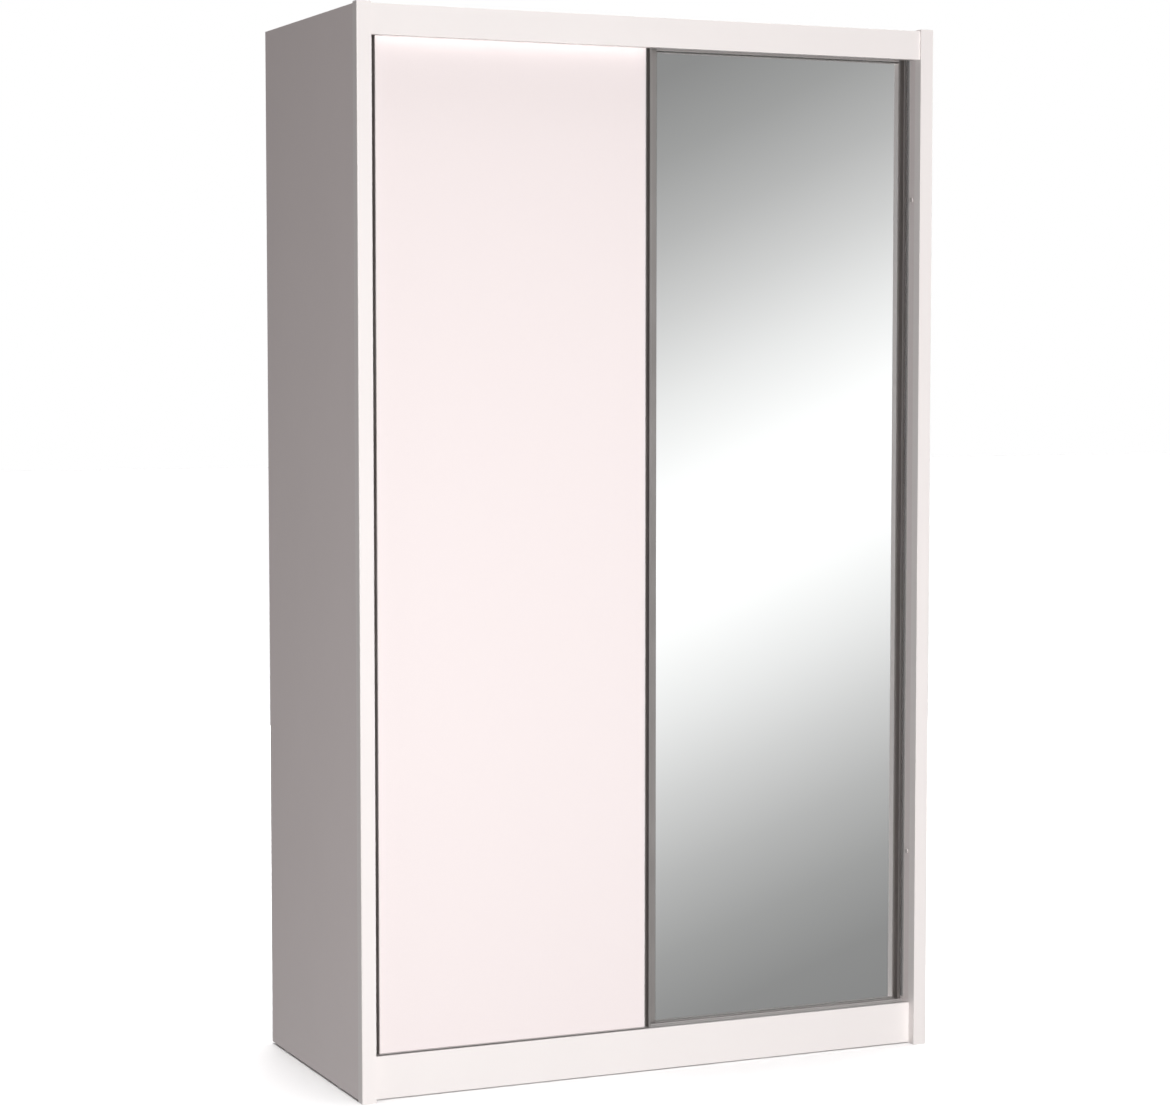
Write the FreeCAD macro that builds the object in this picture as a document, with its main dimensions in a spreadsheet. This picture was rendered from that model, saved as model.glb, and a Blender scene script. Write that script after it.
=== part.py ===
import FreeCAD, Part
import os
import re
import Sketcher

# Two-door sliding wardrobe, millimetres.  +Z is up, the doors face -Y, and the origin is on
# the floor, in the middle of the width and of the depth.  Doors are drawn closed.

SIZES = {
    # whole wardrobe
    "overall_width": 1200, "overall_depth": 540, "overall_height": 2020,
    # boards of the cabinet
    "board": 18, "back_board": 3, "post_width": 28, "post_depth": 22, "post_rise": 3,
    "post_rounding": 2, "liner_depth": 52, "side_foot_gap": 4, "plinth_foot_gap": 1.5,
    "fascia_setback": 4, "fascia_height": 56, "plinth_setback": 20, "plinth_height": 82,
    "back_board_inset": 3, "rear_plinth_inset": 12,
    # inside
    "hat_shelf_level": 1660, "hat_shelf_setback": 82, "shelf_setback": 100, "shelf_pitch": 384,
    "shelf_side_gap": 1, "shelf_rear_gap": 3,
    "pin_radius": 2.5, "pin_depth": 8, "pin_reach": 8, "pin_front_inset": 60, "pin_rear_inset": 60,
    "pin_hole_pitch": 32,
    "rail_radius": 12.5, "rail_wall": 1.2, "rail_drop": 45, "socket_flange": 19,
    "socket_cup": 15, "socket_flange_thickness": 3, "socket_length": 14, "socket_gap": 0.2,
    # fasteners and feet
    "cam_radius": 7.5, "cam_depth": 13, "cam_set_in": 24, "cam_bolt_radius": 3, "cam_bolt_hold": 8.5,
    "cam_front_inset": 120, "cam_rear_inset": 80,
    "glide_radius": 8, "bracket": 22, "bracket_inset": 240,
    "nail_head_radius": 2, "nail_head": 0.8, "nail_radius": 0.8, "nail_length": 16,
    "nail_edge_inset": 120,
    "screw_head_radius": 3, "screw_head": 0.9, "screw_radius": 1.5, "screw_length": 13,
    "screw_end_inset": 60,
    # doors
    "door_thickness": 16, "front_door_setback": 24, "door_spacing": 28, "door_side_gap": 2,
    "door_overlap": 18, "door_lift": 2.4, "door_headroom": 14,
    "front_stile": 13.4, "front_lip": 4.8, "rear_stile": 18, "rear_lip": 6,
    "stile_wall": 1.5, "stile_web": 2, "lip_nose": 0.8, "meeting_stile": 40.5, "meeting_wall": 1.6,
    "bottom_strip": 2.1, "front_top_strip": 10, "rear_top_strip": 24.5, "mirror_thickness": 4,
    # running gear
    "wheel_radius": 11, "wheel_width": 6, "wheel_groove_width": 2.4, "wheel_groove_depth": 0.8,
    "wheel_bore_gap": 0.05, "wheel_running_gap": 0.3, "wheel_side_gap": 1, "wheel_inset": 90,
    "axle_radius": 2, "housing_length": 40, "housing_height": 30, "housing_depth": 12,
    "guide_length": 30, "guide_width": 8, "guide_height": 9, "guide_plate": 1.5,
    "guide_plate_length": 44, "guide_plate_width": 12,
    # tracks and seals
    "track_base": 1.2, "track_front_inset": 1, "track_rib_height": 4, "track_rib": 2,
    "track_bead": 1.6, "track_bead_height": 0.8, "track_rear_margin": 2,
    "channel_gap": 1, "channel_wall": 1.5, "channel_depth": 12,
    "seal_width": 6, "seal_clearance": 1.5, "seal_end_gap": 14, "seal_edge_inset": 2,
    "dust_strip": 3, "dust_strip_end_gap": 8,
    "buffer": 1.7, "buffer_size": 8, "buffer_end_inset": 300,
}

# Places worked out from the sizes, each written once.
PLACES = {
    "left": "-overall_width / 2", "right": "overall_width / 2",
    "front": "-overall_depth / 2", "rear": "overall_depth / 2",
    "carcass_front": "front + post_depth", "carcass_rear": "rear - back_board",
    "carcass_top": "overall_height - post_rise", "ceiling": "carcass_top - board",
    "inner_left": "left + board", "inner_right": "right - board",
    "jamb_left": "left + post_width", "jamb_right": "right - post_width",
    "liner_rear": "carcass_front + liner_depth",
    "plinth_front": "front + plinth_setback", "plinth_rear": "plinth_front + board",
    "floor_underside": "plinth_height - board",
    "rear_plinth_rear": "carcass_rear - rear_plinth_inset",
    "partition_left": "-board / 2", "partition_right": "board / 2",
    "hat_shelf_top": "hat_shelf_level + board", "hat_shelf_front": "front + hat_shelf_setback",
    "shelf_front": "front + shelf_setback", "shelf_rear": "carcass_rear - shelf_rear_gap",
    "rail_height": "hat_shelf_level - rail_drop", "rail_y": "(hat_shelf_front + shelf_rear) / 2",
    "front_door_face": "front + front_door_setback",
    "front_door_rear": "front_door_face + door_thickness",
    "rear_door_face": "front_door_face + door_spacing",
    "rear_door_rear": "rear_door_face + door_thickness",
    "door_bottom": "plinth_height + door_lift", "door_top": "ceiling - door_headroom",
    "panel_bottom": "door_bottom + bottom_strip",
    "front_panel_top": "door_top - front_top_strip", "rear_panel_top": "door_top - rear_top_strip",
    "front_door_left": "jamb_left + door_side_gap", "front_door_right": "0",
    "rear_door_left": "front_door_right - door_overlap", "rear_door_right": "jamb_right - door_side_gap",
    "front_panel_left": "front_door_left + front_stile",
    "front_panel_right": "front_door_right - front_stile",
    "rear_panel_left": "rear_door_left + meeting_stile",
    "rear_panel_right": "rear_door_right - rear_stile",
    "front_wheel_y": "front_door_rear - housing_depth / 2",
    "rear_wheel_y": "rear_door_rear - housing_depth / 2",
    "track_top": "plinth_height + track_base",
    "wheel_z": "track_top + wheel_running_gap + wheel_radius",
    "housing_top": "door_bottom + housing_height",
    "seal_rear": "rear_door_face - seal_clearance",
    "between_doors": "(front_door_rear + rear_door_face) / 2",
}

doc = FreeCAD.newDocument("Wardrobe")
sheet = doc.addObject("Spreadsheet::Sheet", "Sizes")
for row, (name, number) in enumerate(SIZES.items(), start=1):
    sheet.set(f"A{row}", name)
    sheet.set(f"B{row}", str(number))
    sheet.setAlias(f"B{row}", name)
doc.recompute()

nodes = []
WORD = re.compile(r"[a-z_]+")


def formula(text):
    """Write a formula with each size as its cell and each place as its own formula."""
    def swap(match):
        word = match.group(0)
        return f"({formula(PLACES[word])})" if word in PLACES else f"Sizes.{word}"
    return WORD.sub(swap, str(text))


def value(text):
    """The number that a formula gives now."""
    number = doc.getObject("Sizes").evalExpression(formula(text))
    return float(getattr(number, "Value", number))


def bind(thing, prop, text):
    thing.setExpression(prop, formula(text))


def place(thing, corner):
    for axis, text in zip("xyz", corner):
        bind(thing, f"Placement.Base.{axis}", text)


def keep(thing):
    """Mark a finished piece: its label becomes its file's name."""
    nodes.append(thing)
    return thing


def block(label, x, y, z):
    """A box between the two formulas given for each axis."""
    part = doc.addObject("Part::Box", label)
    for prop, (low, high) in zip(("Length", "Width", "Height"), (x, y, z)):
        bind(part, prop, f"({high}) - ({low})")
    place(part, (x[0], y[0], z[0]))
    return part


TURNS = {
    "x": FreeCAD.Rotation(FreeCAD.Vector(0, 1, 0), 90),
    "y": FreeCAD.Rotation(FreeCAD.Vector(1, 0, 0), -90),
    "z": FreeCAD.Rotation(),
}


def rod(label, axis, start, radius, length):
    """A cylinder that starts at a point and runs along an axis."""
    part = doc.addObject("Part::Cylinder", label)
    bind(part, "Radius", radius)
    bind(part, "Height", length)
    part.Placement = FreeCAD.Placement(FreeCAD.Vector(), TURNS[axis])
    place(part, start)
    return part


def join(label, parts):
    whole = doc.addObject("Part::MultiFuse", label)
    whole.Shapes = parts
    return whole


def group(label, parts):
    """Loose solids kept together as one piece."""
    whole = doc.addObject("Part::Compound", label)
    whole.Links = parts
    return whole


def cut(label, base, tools):
    whole = doc.addObject("Part::Cut", label)
    whole.Base = base
    whole.Tool = tools[0] if len(tools) == 1 else group(f"{label}_tools", tools)
    return whole


def rounded(label, base, size, picks):
    """Round the edges that picks accepts."""
    part = doc.addObject("Part::Fillet", label)
    part.Base = base
    doc.recompute()
    radius = value(size)
    part.Edges = [(number, radius, radius)
                  for number, edge in enumerate(base.Shape.Edges, start=1) if picks(edge)]
    return part


def extrude(label, outline, height, corner):
    """Draw a closed outline, measured from its corner, and pad it straight up."""
    body = doc.addObject("PartDesign::Body", label)
    plane = next(item for item in body.Origin.OriginFeatures if item.Role == "XY_Plane")
    sketch = body.newObject("Sketcher::SketchObject", f"{label}_outline")
    sketch.AttachmentSupport = [(plane, "")]
    sketch.MapMode = "FlatFace"
    points = [FreeCAD.Vector(value(x), value(y), 0) for x, y in outline]
    count = len(points)
    for index in range(count):
        sketch.addGeometry(Part.LineSegment(points[index], points[(index + 1) % count]))
    for index in range(count):
        sketch.addConstraint(Sketcher.Constraint("Coincident", index, 2, (index + 1) % count, 1))
    for index, corner_point in enumerate(outline):
        for kind, axis, text in zip(("DistanceX", "DistanceY"), (-2, -1), corner_point):
            if text == "0":
                sketch.addConstraint(Sketcher.Constraint("PointOnObject", index, 1, axis))
                continue
            number = sketch.addConstraint(Sketcher.Constraint(kind, -1, 1, index, 1, value(text)))
            bind(sketch, f"Constraints[{number}]", text)
    pad = body.newObject("PartDesign::Pad", f"{label}_pad")
    pad.Profile = sketch
    bind(pad, "Length", height)
    place(body, corner)
    return body


# ---------------------------------------------------------------- fasteners of the cabinet
# Cam joints at the ends of the flat boards.  Each has a bolt that stands in the upright and a
# cam sunk in the underside of the board.
cams = {}
cam_bolts = {}
BOARD_ENDS = {
    "top_panel": ("ceiling", (("inner_left", 1, "left_side_panel"), ("inner_right", -1, "right_side_panel"))),
    "bottom_panel": ("floor_underside",
                     (("inner_left", 1, "left_side_panel"), ("inner_right", -1, "right_side_panel"))),
    "left_hat_shelf": ("hat_shelf_level",
                       (("inner_left", 1, "left_side_panel"), ("partition_left", -1, "centre_partition"))),
    "right_hat_shelf": ("hat_shelf_level",
                        (("partition_right", 1, "centre_partition"), ("inner_right", -1, "right_side_panel"))),
}
CAM_ROWS = ("front + cam_front_inset", "carcass_rear - cam_rear_inset")
for board, (underside, ends) in BOARD_ENDS.items():
    for end, (edge, inward, upright) in enumerate(ends):
        for spot, y in enumerate(CAM_ROWS):
            cam = rod(f"cam_{board}_{end}_{spot}", "z",
                      (f"{edge} + {inward} * cam_set_in", y, underside), "cam_radius", "cam_depth")
            cams.setdefault(board, []).append(cam)
            start = f"{edge} - cam_bolt_hold" if inward > 0 else f"{edge} - cam_set_in + cam_radius"
            bolt = rod(f"bolt_{board}_{end}_{spot}", "x", (start, y, f"{underside} + board / 2"),
                       "cam_bolt_radius", "cam_bolt_hold + cam_set_in - cam_radius")
            cam_bolts.setdefault(board, []).append(bolt)
            cam_bolts.setdefault(upright, []).append(bolt)


def screw(label, x, y, z, up):
    """A flat-headed screw; its head lies on the metal and its shank runs along +Z or -Z."""
    if up:
        head = rod(f"{label}_head", "z", (x, y, f"{z} - screw_head"), "screw_head_radius", "screw_head")
        shank = rod(f"{label}_shank", "z", (x, y, z), "screw_radius", "screw_length")
    else:
        head = rod(f"{label}_head", "z", (x, y, z), "screw_head_radius", "screw_head")
        shank = rod(f"{label}_shank", "z", (x, y, f"{z} - screw_length"), "screw_radius", "screw_length")
    return join(label, [shank, head])


SCREWS_PER_TRACK = 5
top_screws = []
bottom_screws = []
for number in range(SCREWS_PER_TRACK):
    x = (f"jamb_left + screw_end_inset + {number}"
         f" * (jamb_right - jamb_left - 2 * screw_end_inset) / {SCREWS_PER_TRACK - 1}")
    bottom_screws.append(screw(f"bottom_screw_{number}", x, "between_doors + track_rib", "track_top", False))
    top_screws.append(screw(f"top_screw_{number}", x, "between_doors", "ceiling - track_base", True))

# Nails hold the two back boards to the uprights.
NAILS_PER_EDGE = 8
nails = {"left": [], "right": []}
uprights_nailed = {"left_side_panel": [], "right_side_panel": [], "centre_partition": []}
NAIL_LINES = (("left", "left + board / 2", "left_side_panel"), ("left", "-board / 4", "centre_partition"),
              ("right", "board / 4", "centre_partition"), ("right", "right - board / 2", "right_side_panel"))
for line, (side, x, upright) in enumerate(NAIL_LINES):
    for number in range(NAILS_PER_EDGE):
        z = (f"plinth_height + nail_edge_inset + {number}"
             f" * (carcass_top - plinth_height - 2 * nail_edge_inset) / {NAILS_PER_EDGE - 1}")
        head = rod(f"nail_{line}_{number}_head", "y", (x, "rear - nail_head", z), "nail_head_radius", "nail_head")
        shank = rod(f"nail_{line}_{number}_shank", "y", (x, "rear - nail_length", z),
                    "nail_radius", "nail_length - nail_head")
        nail = join(f"nail_{line}_{number}", [shank, head])
        nails[side].append(nail)
        uprights_nailed[upright].append(nail)

# ---------------------------------------------------------------- shelf pins and their holes
PIN_SHELVES = 3
HOLES_EACH_WAY = 2
pins = []
pin_holes = {"centre_partition": [], "right_side_panel": []}
PIN_ROWS = ("shelf_front + pin_front_inset", "shelf_rear - pin_rear_inset")
for shelf in range(1, PIN_SHELVES + 1):
    level = f"plinth_height + {shelf} * shelf_pitch - pin_radius"
    for row, y in enumerate(PIN_ROWS):
        pins.append(rod(f"pin_{shelf}_{row}_left", "x", ("partition_right - pin_depth", y, level),
                        "pin_radius", "pin_depth + pin_reach"))
        pins.append(rod(f"pin_{shelf}_{row}_right", "x", ("inner_right - pin_reach", y, level),
                        "pin_radius", "pin_depth + pin_reach"))
        for step in range(-HOLES_EACH_WAY, HOLES_EACH_WAY + 1):
            z = f"{level} + {step} * pin_hole_pitch"
            name = f"hole_{shelf}_{row}_{step + HOLES_EACH_WAY}"
            pin_holes["centre_partition"].append(
                rod(f"{name}_left", "x", ("partition_right - pin_depth", y, z), "pin_radius", "pin_depth + 1"))
            pin_holes["right_side_panel"].append(
                rod(f"{name}_right", "x", ("inner_right - 1", y, z), "pin_radius", "pin_depth + 1"))

# ---------------------------------------------------------------- cabinet boards
CARCASS_Y = ("carcass_front", "carcass_rear")
for side, x in (("left", ("left", "inner_left")), ("right", ("inner_right", "right"))):
    label = f"{side}_side_panel"
    blank = block(f"{label}_blank", x, CARCASS_Y, ("side_foot_gap", "carcass_top"))
    keep(cut(label, blank, cam_bolts[label] + uprights_nailed[label] + pin_holes.get(label, [])))

for side, x, outer in (("left", ("left", "jamb_left"), "left"), ("right", ("jamb_right", "right"), "right")):
    blank = block(f"{side}_front_post_blank", x, ("front", "carcass_front"), ("0", "overall_height"))
    edge_x = value(outer)
    front_y = value("front")

    def outer_front_edge(edge):
        middle = edge.CenterOfMass
        return abs(middle.x - edge_x) < 1e-6 and abs(middle.y - front_y) < 1e-6

    keep(rounded(f"{side}_front_post", blank, "post_rounding", outer_front_edge))

LINER_Z = ("plinth_foot_gap", "ceiling")
keep(block("left_jamb_liner", ("inner_left", "jamb_left"), ("carcass_front", "liner_rear"), LINER_Z))
keep(block("right_jamb_liner", ("jamb_right", "inner_right"), ("carcass_front", "liner_rear"), LINER_Z))

top_blank = block("top_panel_blank", ("inner_left", "inner_right"), CARCASS_Y, ("ceiling", "carcass_top"))
keep(cut("top_panel", top_blank, cams["top_panel"] + cam_bolts["top_panel"] + top_screws))

bottom_blank = block("bottom_panel_blank", ("inner_left", "inner_right"), ("plinth_rear", "carcass_rear"),
                     ("floor_underside", "plinth_height"))
notches = [
    block("left_notch", ("inner_left", "jamb_left"), ("plinth_rear", "liner_rear"),
          ("floor_underside", "plinth_height")),
    block("right_notch", ("jamb_right", "inner_right"), ("plinth_rear", "liner_rear"),
          ("floor_underside", "plinth_height")),
]
keep(cut("bottom_panel", bottom_blank,
         notches + cams["bottom_panel"] + cam_bolts["bottom_panel"] + bottom_screws))

keep(block("front_plinth", ("jamb_left", "jamb_right"), ("plinth_front", "plinth_rear"),
           ("plinth_foot_gap", "plinth_height")))
keep(block("rear_plinth", ("inner_left", "inner_right"), ("rear_plinth_rear - board", "rear_plinth_rear"),
           ("plinth_foot_gap", "floor_underside")))
keep(block("centre_stretcher", ("partition_left", "partition_right"), ("plinth_rear", "rear_plinth_rear - board"),
           ("plinth_foot_gap", "floor_underside")))
keep(block("top_fascia", ("jamb_left", "jamb_right"), ("front + fascia_setback", "carcass_front"),
           ("carcass_top - fascia_height", "carcass_top")))

partition_blank = block("centre_partition_blank", ("partition_left", "partition_right"),
                        ("liner_rear", "carcass_rear"), ("plinth_height", "ceiling"))
keep(cut("centre_partition", partition_blank,
         cam_bolts["centre_partition"] + uprights_nailed["centre_partition"] + pin_holes["centre_partition"]))

BAYS = {"left": ("inner_left", "partition_left"), "right": ("partition_right", "inner_right")}
for side, x in BAYS.items():
    label = f"{side}_hat_shelf"
    blank = block(f"{label}_blank", x, ("hat_shelf_front", "shelf_rear"), ("hat_shelf_level", "hat_shelf_top"))
    keep(cut(label, blank, cams[label] + cam_bolts[label]))

SHELF_NAMES = ("lower_shelf", "middle_shelf", "upper_shelf")
for number, label in enumerate(SHELF_NAMES, start=1):
    level = f"plinth_height + {number} * shelf_pitch"
    keep(block(label, ("partition_right + shelf_side_gap", "inner_right - shelf_side_gap"),
               ("shelf_front", "shelf_rear"), (level, f"{level} + board")))

for side, x in (("left", ("left + back_board_inset", "0")), ("right", ("0", "right - back_board_inset"))):
    blank = block(f"{side}_back_board_blank", x, ("carcass_rear", "rear"),
                  ("floor_underside", "carcass_top - back_board_inset"))
    keep(cut(f"{side}_back_board", blank, nails[side]))

keep(group("back_board_nails", nails["left"] + nails["right"]))
keep(group("shelf_pins", pins))
keep(group("cam_locks", [cam for board in BOARD_ENDS for cam in cams[board]]))
keep(group("cam_bolts", [bolt for board in BOARD_ENDS for bolt in cam_bolts[board]]))
keep(group("track_screws", top_screws + bottom_screws))

glides = []
for side, x in (("left", "left + board / 2"), ("right", "right - board / 2")):
    for spot, y in enumerate(("carcass_front + cam_front_inset", "carcass_rear - cam_rear_inset")):
        glides.append(rod(f"glide_{side}_{spot}", "z", (x, y, "0"), "glide_radius", "side_foot_gap"))
keep(group("floor_glides", glides))

brackets = []
for side, x in (("left", "inner_left + bracket_inset"), ("right", "inner_right - bracket_inset - bracket")):
    for spot, y in enumerate(("plinth_rear", "rear_plinth_rear - board - bracket")):
        brackets.append(block(f"bracket_{side}_{spot}", (x, f"{x} + bracket"), (y, f"{y} + bracket"),
                              ("floor_underside - bracket", "floor_underside")))
keep(group("plinth_brackets", brackets))

# ---------------------------------------------------------------- hanging rail
RAIL_START = ("inner_left + socket_flange_thickness", "rail_y", "rail_height")
RAIL_LENGTH = "partition_left - inner_left - 2 * socket_flange_thickness"
rail_tube = rod("rail_tube", "x", RAIL_START, "rail_radius", RAIL_LENGTH)
rail_hollow = rod("rail_hollow", "x", RAIL_START, "rail_radius - rail_wall", RAIL_LENGTH)
keep(cut("hanging_rail", rail_tube, [rail_hollow]))
for side, wall, cup in (("left", "inner_left", "inner_left + socket_flange_thickness"),
                        ("right", "partition_left - socket_flange_thickness", "partition_left - socket_length")):
    flange = rod(f"{side}_socket_flange", "x", (wall, "rail_y", "rail_height"),
                 "socket_flange", "socket_flange_thickness")
    collar = rod(f"{side}_socket_collar", "x", (cup, "rail_y", "rail_height"),
                 "socket_cup", "socket_length - socket_flange_thickness")
    mouth = rod(f"{side}_socket_mouth", "x", (cup, "rail_y", "rail_height"),
                "rail_radius + socket_gap", "socket_length - socket_flange_thickness")
    keep(cut(f"{side}_rail_socket", join(f"{side}_socket_body", [flange, collar]), [mouth]))

# ---------------------------------------------------------------- tracks, dust strips, buffers
TRACK_X = ("jamb_left", "jamb_right")
rail_parts = [
    block("bottom_track_base", TRACK_X, ("plinth_front + track_front_inset", "rear_door_rear + track_rear_margin"),
          ("plinth_height", "track_top")),
    block("bottom_track_rib", TRACK_X, ("front_door_rear + track_rib", "front_door_rear + 2 * track_rib"),
          ("plinth_height", "plinth_height + track_rib_height")),
    block("bottom_track_rear_rib", TRACK_X, ("rear_door_rear + 0.5", "rear_door_rear + track_rear_margin"),
          ("plinth_height", "plinth_height + track_rib_height")),
]
for door in ("front", "rear"):
    rail_parts.append(block(f"bottom_track_{door}_bead", TRACK_X,
                            (f"{door}_wheel_y - track_bead / 2", f"{door}_wheel_y + track_bead / 2"),
                            ("plinth_height", "track_top + track_bead_height")))
keep(cut("bottom_track", join("bottom_track_blank", rail_parts), bottom_screws))

channel_parts = [block("top_track_base", TRACK_X,
                       ("front_door_face + channel_wall", "rear_door_rear - channel_wall"),
                       ("ceiling - track_base", "ceiling"))]
for door in ("front", "rear"):
    middle = f"({door}_door_face + {door}_door_rear) / 2"
    reach = "(guide_width / 2 + channel_gap)"
    for side, y in (("outer", (f"{middle} - {reach} - channel_wall", f"{middle} - {reach}")),
                    ("inner", (f"{middle} + {reach}", f"{middle} + {reach} + channel_wall"))):
        channel_parts.append(block(f"top_track_{door}_{side}", TRACK_X, y, ("ceiling - channel_depth", "ceiling")))
keep(cut("top_track", join("top_track_blank", channel_parts), top_screws))

STRIP_Y = ("front_door_rear + seal_clearance", "rear_door_face - seal_clearance")
STRIP_Z = ("plinth_height + dust_strip_end_gap", "ceiling - channel_depth - dust_strip_end_gap")
keep(block("left_dust_strip", ("jamb_left", "jamb_left + dust_strip"), STRIP_Y, STRIP_Z))
keep(block("right_dust_strip", ("jamb_right - dust_strip", "jamb_right"), STRIP_Y, STRIP_Z))

buffers = []
for side, x in (("left", ("jamb_left", "jamb_left + buffer")), ("right", ("jamb_right - buffer", "jamb_right"))):
    for door in ("front", "rear"):
        middle = f"({door}_door_face + {door}_door_rear) / 2"
        for end, z in (("low", "door_bottom + buffer_end_inset"), ("high", "door_top - buffer_end_inset")):
            buffers.append(block(f"buffer_{side}_{door}_{end}", x,
                                 (f"{middle} - buffer_size / 2", f"{middle} + buffer_size / 2"),
                                 (z, f"{z} + buffer_size")))
keep(group("door_buffers", buffers))


# ---------------------------------------------------------------- doors
def grip_stile(label, kind, lip_on_right, corner):
    """A trough open to the front: thin wall at the panel, web behind, thick lip at the door's edge.

    The three run side by side and touch, so each is a plain convex length.
    """
    stile, lip, web = f"{kind}_stile", f"{kind}_lip", "door_thickness - stile_web"
    if lip_on_right:
        lip_x, wall_x, nose = (f"{stile} - {lip}", stile), ("0", "stile_wall"), f"{stile} - lip_nose"
    else:
        lip_x, wall_x, nose = (lip, "0"), (stile, f"{stile} - stile_wall"), "lip_nose"
    outlines = {
        "lip": [(lip_x[0], "0"), (nose, "0"), (lip_x[1], "lip_nose"), (lip_x[1], web), (lip_x[0], web)],
        "wall": [(wall_x[0], "0"), (wall_x[1], "0"), (wall_x[1], web), (wall_x[0], web)],
        "web": [("0", web), (stile, web), (stile, "door_thickness"), ("0", "door_thickness")],
    }
    height = "door_top - door_bottom"
    keep(group(label, [extrude(f"{label}_{part}", outline, height, corner)
                       for part, outline in outlines.items()]))


grip_stile("front_door_left_stile", "front", False, ("front_door_left", "front_door_face", "door_bottom"))
grip_stile("front_door_right_stile", "front", True, ("front_panel_right", "front_door_face", "door_bottom"))
grip_stile("rear_door_right_stile", "rear", True, ("rear_panel_right", "rear_door_face", "door_bottom"))

meeting_blank = block("meeting_stile_blank", ("rear_door_left", "rear_panel_left"),
                      ("rear_door_face", "rear_door_rear"), ("door_bottom", "door_top"))
meeting_hollow = block("meeting_stile_hollow",
                       ("rear_door_left + meeting_wall", "rear_panel_left - meeting_wall"),
                       ("rear_door_face + meeting_wall", "rear_door_rear - meeting_wall"),
                       ("door_bottom", "door_top"))
keep(cut("rear_door_left_stile", meeting_blank, [meeting_hollow]))

for door in ("front", "rear"):
    panel_x = (f"{door}_panel_left", f"{door}_panel_right")
    door_y = (f"{door}_door_face", f"{door}_door_rear")
    wheel_y = f"{door}_wheel_y"
    spots = {"left": f"{door}_door_left + wheel_inset", "right": f"{door}_door_right - wheel_inset"}
    pockets = [block(f"{door}_{side}_pocket", (f"{x} - housing_length / 2", f"{x} + housing_length / 2"),
                     (f"{door}_door_rear - housing_depth", f"{door}_door_rear"), ("door_bottom", "housing_top"))
               for side, x in spots.items()]

    panel_z = ("panel_bottom", f"{door}_panel_top")
    if door == "front":
        keep(cut("front_door_panel", block("front_door_panel_blank", panel_x, door_y, panel_z), pockets))
    else:
        glass_rear = "rear_door_face + mirror_thickness"
        keep(block("mirror_glass", panel_x, ("rear_door_face", glass_rear), panel_z))
        backing = block("mirror_backing_blank", panel_x, (glass_rear, "rear_door_rear"), panel_z)
        keep(cut("mirror_backing_board", backing, pockets))
    keep(cut(f"{door}_door_bottom_strip",
             block(f"{door}_door_bottom_strip_blank", panel_x, door_y, ("door_bottom", "panel_bottom")), pockets))
    keep(block(f"{door}_door_top_strip", panel_x, door_y, (f"{door}_panel_top", "door_top")))

    guides = []
    for side, x in spots.items():
        centre = f"({door}_door_face + {door}_door_rear) / 2"
        plate = block(f"{door}_{side}_guide_plate", (f"{x} - guide_plate_length / 2", f"{x} + guide_plate_length / 2"),
                      (f"{centre} - guide_plate_width / 2", f"{centre} + guide_plate_width / 2"),
                      ("door_top", "door_top + guide_plate"))
        fin = block(f"{door}_{side}_guide_fin", (f"{x} - guide_length / 2", f"{x} + guide_length / 2"),
                    (f"{centre} - guide_width / 2", f"{centre} + guide_width / 2"),
                    ("door_top", "door_top + guide_height"))
        guides.append(join(f"{door}_{side}_guide", [plate, fin]))
    keep(group(f"{door}_door_top_guides", guides))

    axles = []
    for side, x in spots.items():
        name = f"{door}_{side}"
        axle = rod(f"{name}_axle", "y", (x, f"{door}_door_rear - housing_depth", "wheel_z"),
                   "axle_radius", "housing_depth")
        axles.append(axle)
        shell = block(f"{name}_housing_blank", (f"{x} - housing_length / 2", f"{x} + housing_length / 2"),
                      (f"{door}_door_rear - housing_depth", f"{door}_door_rear"), ("door_bottom", "housing_top"))
        room = "wheel_radius + wheel_side_gap"
        cavity = block(f"{name}_cavity", (f"{x} - ({room})", f"{x} + {room}"),
                       (f"{wheel_y} - wheel_width / 2 - wheel_side_gap",
                        f"{wheel_y} + wheel_width / 2 + wheel_side_gap"),
                       ("door_bottom", f"wheel_z + {room}"))
        keep(cut(f"{name}_roller_housing", cut(f"{name}_housing_hollow", shell, [cavity]), [axle]))

        rim = "(wheel_width - wheel_groove_width) / 2"
        start = f"{wheel_y} - wheel_width / 2"
        tread = join(f"{name}_wheel_blank", [
            rod(f"{name}_near_rim", "y", (x, start, "wheel_z"), "wheel_radius", rim),
            rod(f"{name}_tread", "y", (x, start, "wheel_z"), "wheel_radius - wheel_groove_depth", "wheel_width"),
            rod(f"{name}_far_rim", "y", (x, f"{wheel_y} + wheel_groove_width / 2", "wheel_z"),
                "wheel_radius", rim)])
        bore = rod(f"{name}_bore", "y", (x, start, "wheel_z"), "axle_radius + wheel_bore_gap", "wheel_width")
        keep(cut(f"{name}_wheel", tread, [bore]))
    keep(group(f"{door}_wheel_axles", axles))

keep(block("door_brush_seal", ("front_door_right - seal_edge_inset - seal_width", "front_door_right - seal_edge_inset"),
           ("front_door_rear", "seal_rear"), ("door_bottom + seal_end_gap", "door_top - seal_end_gap")))

# ---------------------------------------------------------------- check and write
doc.recompute()
for item in doc.Objects:
    if "Invalid" in item.State or "Error" in item.State:
        raise RuntimeError(f"{item.Label} did not compute: {item.State}")
labels = [node.Label for node in nodes]
if len(set(labels)) != len(labels):
    raise RuntimeError("two pieces share a name")
for node in nodes:
    if node.Shape.isNull() or not node.Shape.isValid() or not node.Shape.Solids:
        raise RuntimeError(f"{node.Label} has no sound solid")
os.makedirs("parts", exist_ok=True)
for node in nodes:
    node.Shape.exportStep(f"parts/{node.Label}.step")
    print(f"{node.Label}: {len(node.Shape.Solids)} solid(s), {node.Shape.Volume / 1000:.1f} cm3")
print(f"{len(nodes)} pieces written")
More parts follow.
